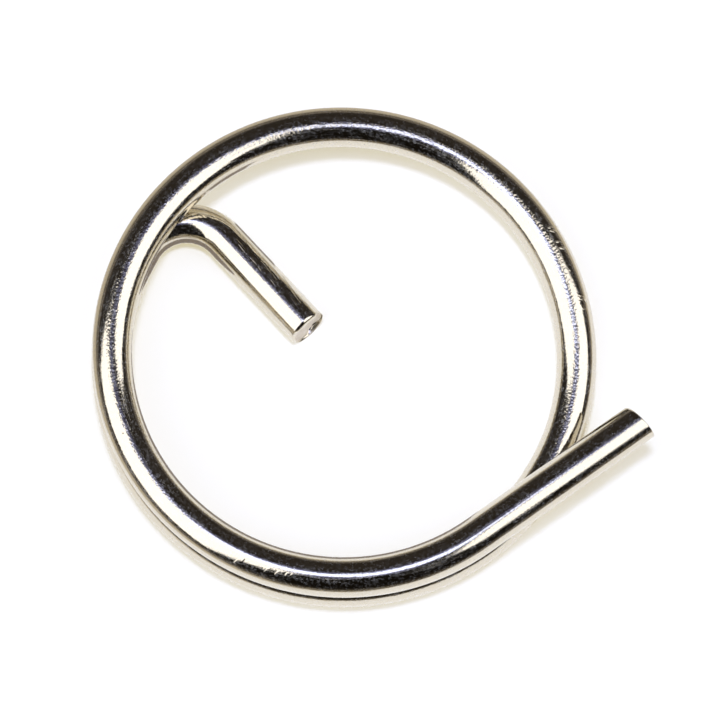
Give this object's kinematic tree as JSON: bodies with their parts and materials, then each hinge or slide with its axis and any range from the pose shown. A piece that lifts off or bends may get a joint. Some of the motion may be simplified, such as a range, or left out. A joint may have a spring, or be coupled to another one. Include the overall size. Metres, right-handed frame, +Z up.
{
  "type": "ring linch pin",
  "caption": "Sprung wire ring linch pin: coiled ring with a straight leg bent in for a cross hole and a straight tail to pull it out by.",
  "frame": {"origin": "on the ring's axis, in the plane that the lower coil lies on", "axes": "+Z up along the ring's axis, towards the upper coil; +X to the side that the tail runs out to; +Y to the side that the leg comes in from"},
  "size_m": [0.0281, 0.0253, 0.0041],
  "materials": {
    "wire": "bright nickel-plated spring steel wire, with fine drawing lines along it and bare sheared ends"
  },
  "bodies": {
    "root": {"ring_pin": "wire"}
  },
  "joints": []
}
